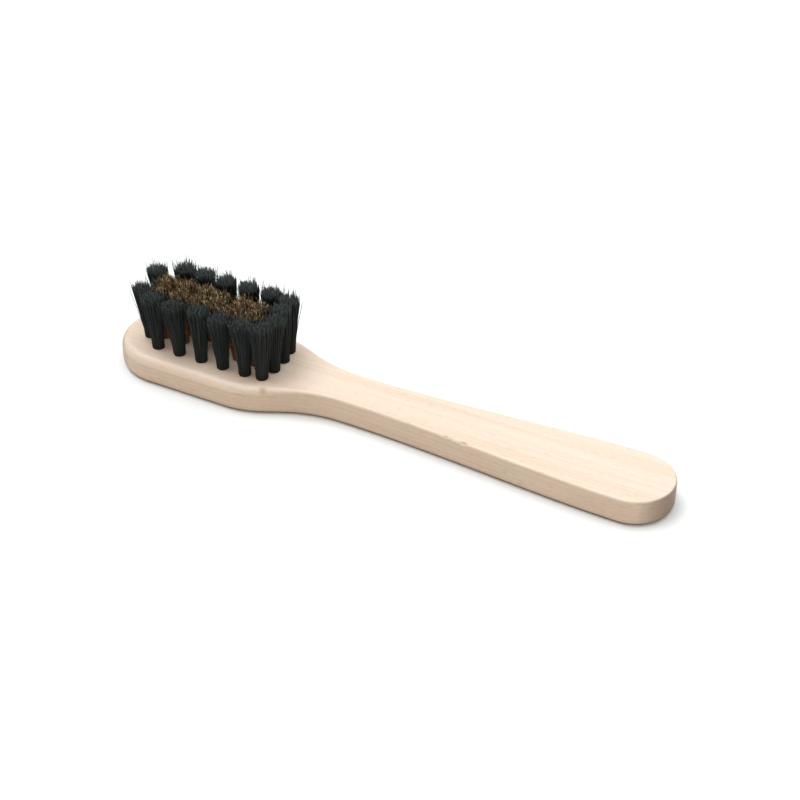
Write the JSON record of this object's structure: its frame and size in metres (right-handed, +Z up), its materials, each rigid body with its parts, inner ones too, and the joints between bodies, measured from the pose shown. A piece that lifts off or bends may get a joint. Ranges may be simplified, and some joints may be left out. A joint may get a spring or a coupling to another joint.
{
  "type": "clothes brush",
  "caption": "Small handled clothes brush: flat beech body with round head and slim neck, oval ring of black bristle tufts round rows of bronze wire tufts, staple-set.",
  "frame": {"origin": "middle of the footprint on the flat underside of the wooden body", "axes": "+X along the grip, away from the bristled head; +Z up, the way the tufts point; +Y across the body"},
  "size_m": [0.175, 0.032, 0.0265],
  "materials": {
    "beech": "sanded, lightly waxed",
    "black_bristle": "trimmed bristle bundle",
    "bronze_wire": "crimped fine wire",
    "staple_wire": "drawn wire"
  },
  "bodies": {
    "root": {"beech_body": "beech", "bristle_tuft_01": "black_bristle", "bristle_tuft_02": "black_bristle", "bristle_tuft_03": "black_bristle", "bristle_tuft_04": "black_bristle", "bristle_tuft_05": "black_bristle", "bristle_tuft_06": "black_bristle", "bristle_tuft_07": "black_bristle", "bristle_tuft_08": "black_bristle", "bristle_tuft_09": "black_bristle", "bristle_tuft_10": "black_bristle", "bristle_tuft_11": "black_bristle", "bristle_tuft_12": "black_bristle", "bristle_tuft_13": "black_bristle", "bristle_tuft_14": "black_bristle", "bristle_tuft_15": "black_bristle", "bristle_tuft_16": "black_bristle", "bristle_staple_01": "staple_wire", "bristle_staple_02": "staple_wire", "bristle_staple_03": "staple_wire", "bristle_staple_04": "staple_wire", "bristle_staple_05": "staple_wire", "bristle_staple_06": "staple_wire", "bristle_staple_07": "staple_wire", "bristle_staple_08": "staple_wire", "bristle_staple_09": "staple_wire", "bristle_staple_10": "staple_wire", "bristle_staple_11": "staple_wire", "bristle_staple_12": "staple_wire", "bristle_staple_13": "staple_wire", "bristle_staple_14": "staple_wire", "bristle_staple_15": "staple_wire", "bristle_staple_16": "staple_wire", "wire_tuft_01": "bronze_wire", "wire_tuft_02": "bronze_wire", "wire_tuft_03": "bronze_wire", "wire_tuft_04": "bronze_wire", "wire_tuft_05": "bronze_wire", "wire_tuft_06": "bronze_wire", "wire_tuft_07": "bronze_wire", "wire_tuft_08": "bronze_wire", "wire_tuft_09": "bronze_wire", "wire_tuft_10": "bronze_wire", "wire_tuft_11": "bronze_wire", "wire_tuft_12": "bronze_wire", "wire_staple_01": "staple_wire", "wire_staple_02": "staple_wire", "wire_staple_03": "staple_wire", "wire_staple_04": "staple_wire", "wire_staple_05": "staple_wire", "wire_staple_06": "staple_wire", "wire_staple_07": "staple_wire", "wire_staple_08": "staple_wire", "wire_staple_09": "staple_wire", "wire_staple_10": "staple_wire", "wire_staple_11": "staple_wire", "wire_staple_12": "staple_wire"}
  },
  "joints": []
}
